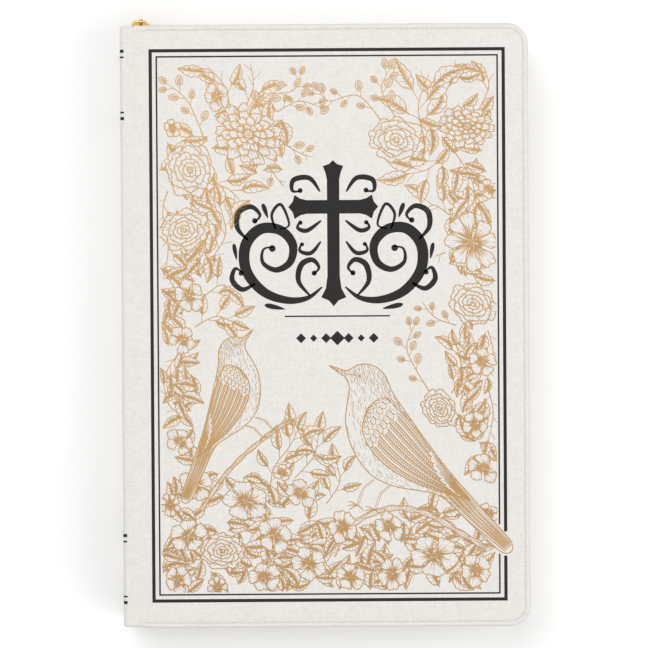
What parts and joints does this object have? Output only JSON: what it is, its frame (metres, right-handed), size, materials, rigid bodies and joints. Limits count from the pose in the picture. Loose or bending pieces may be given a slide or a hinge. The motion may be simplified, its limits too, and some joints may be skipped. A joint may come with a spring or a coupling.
{
  "type": "zip-around bible",
  "caption": "Zip-around bible with padded covers, a folding spine, a page block that opens at its middle, a ribbon marker and a zip slider with a swinging pull.",
  "frame": {"origin": "middle of the back cover's underside, the face it lies on", "axes": "+X towards the fore edge, +Y towards the head, +Z out of the front cover"},
  "size_m": [0.156, 0.2346, 0.038],
  "materials": {
    "leatherette": "off-white linen-grain imitation leather, satin",
    "board": "greyboard with foam, hidden inside the cover",
    "lining": "cream woven lining, matt",
    "thread": "cream polyester topstitching",
    "page_edges": "stacked thin paper with gilt edges",
    "paper": "uncoated ivory endpaper",
    "headband": "woven cream and gold headband",
    "mull": "open-weave spine cloth with glue",
    "ribbon": "gold satin ribbon",
    "zip_tape": "cream herringbone zip tape",
    "zip_teeth": "cream moulded zip teeth",
    "gold_metal": "polished light-gold plated zinc"
  },
  "bodies": {
    "back_cover": {"back_skin": "leatherette", "back_board": "board", "back_lining": "lining", "back_seam_thread": "thread", "back_pastedown": "paper", "back_zip_tape": "zip_tape", "back_teeth_head": "zip_teeth", "back_teeth_run": "zip_teeth", "zip_bottom_stop": "gold_metal", "back_pages": "page_edges", "back_flyleaf": "paper", "back_headbands": "headband", "back_mull": "mull", "ribbon_marker": "ribbon"},
    "spine": {"spine_skin": "leatherette", "spine_stiffener": "board", "spine_lining": "lining", "front_fold": "leatherette", "back_fold": "leatherette"},
    "front_cover": {"front_skin": "leatherette", "front_board": "board", "front_lining": "lining", "front_seam_thread": "thread", "front_pastedown": "paper", "front_zip_tape": "zip_tape", "front_teeth_head": "zip_teeth", "front_teeth_run": "zip_teeth"},
    "upper_pages": {"front_pages": "page_edges", "front_flyleaf": "paper", "front_headbands": "headband", "front_mull": "mull"},
    "slider": {"slider_body": "gold_metal"},
    "pull": {"pull_tab": "gold_metal"}
  },
  "joints": [
    {"name": "spine_fold", "type": "hinge", "parent": "back_cover", "child": "spine", "pos_m": [-0.0765, 0, 0.0015], "axis": [0, -1, 0], "range_deg": [0, 90]},
    {"name": "front_cover_fold", "type": "hinge", "parent": "spine", "child": "front_cover", "pos_m": [-0.0765, 0, 0.0365], "axis": [0, -1, 0], "range_deg": [0, 90]},
    {"name": "page_opening", "type": "hinge", "parent": "back_cover", "child": "upper_pages", "pos_m": [-0.0715, 0, 0.019], "axis": [0, -1, 0], "range_deg": [0, 180]},
    {"name": "zip_slide", "type": "slide", "parent": "back_cover", "child": "slider", "axis": [1, 0, 0], "range_m": [0, 0.125], "deforming": ["back_teeth_head", "front_teeth_head"]},
    {"name": "pull_swing", "type": "hinge", "parent": "slider", "child": "pull", "pos_m": [-0.0707, 0.11775, 0.019], "axis": [1, 0, 0], "range_deg": [0, 175]}
  ],
  "couplings": [
    {"joint": "front_cover_fold", "follows": "spine_fold", "ratio": 1},
    {"joint": "page_opening", "follows": "spine_fold", "ratio": 2}
  ]
}
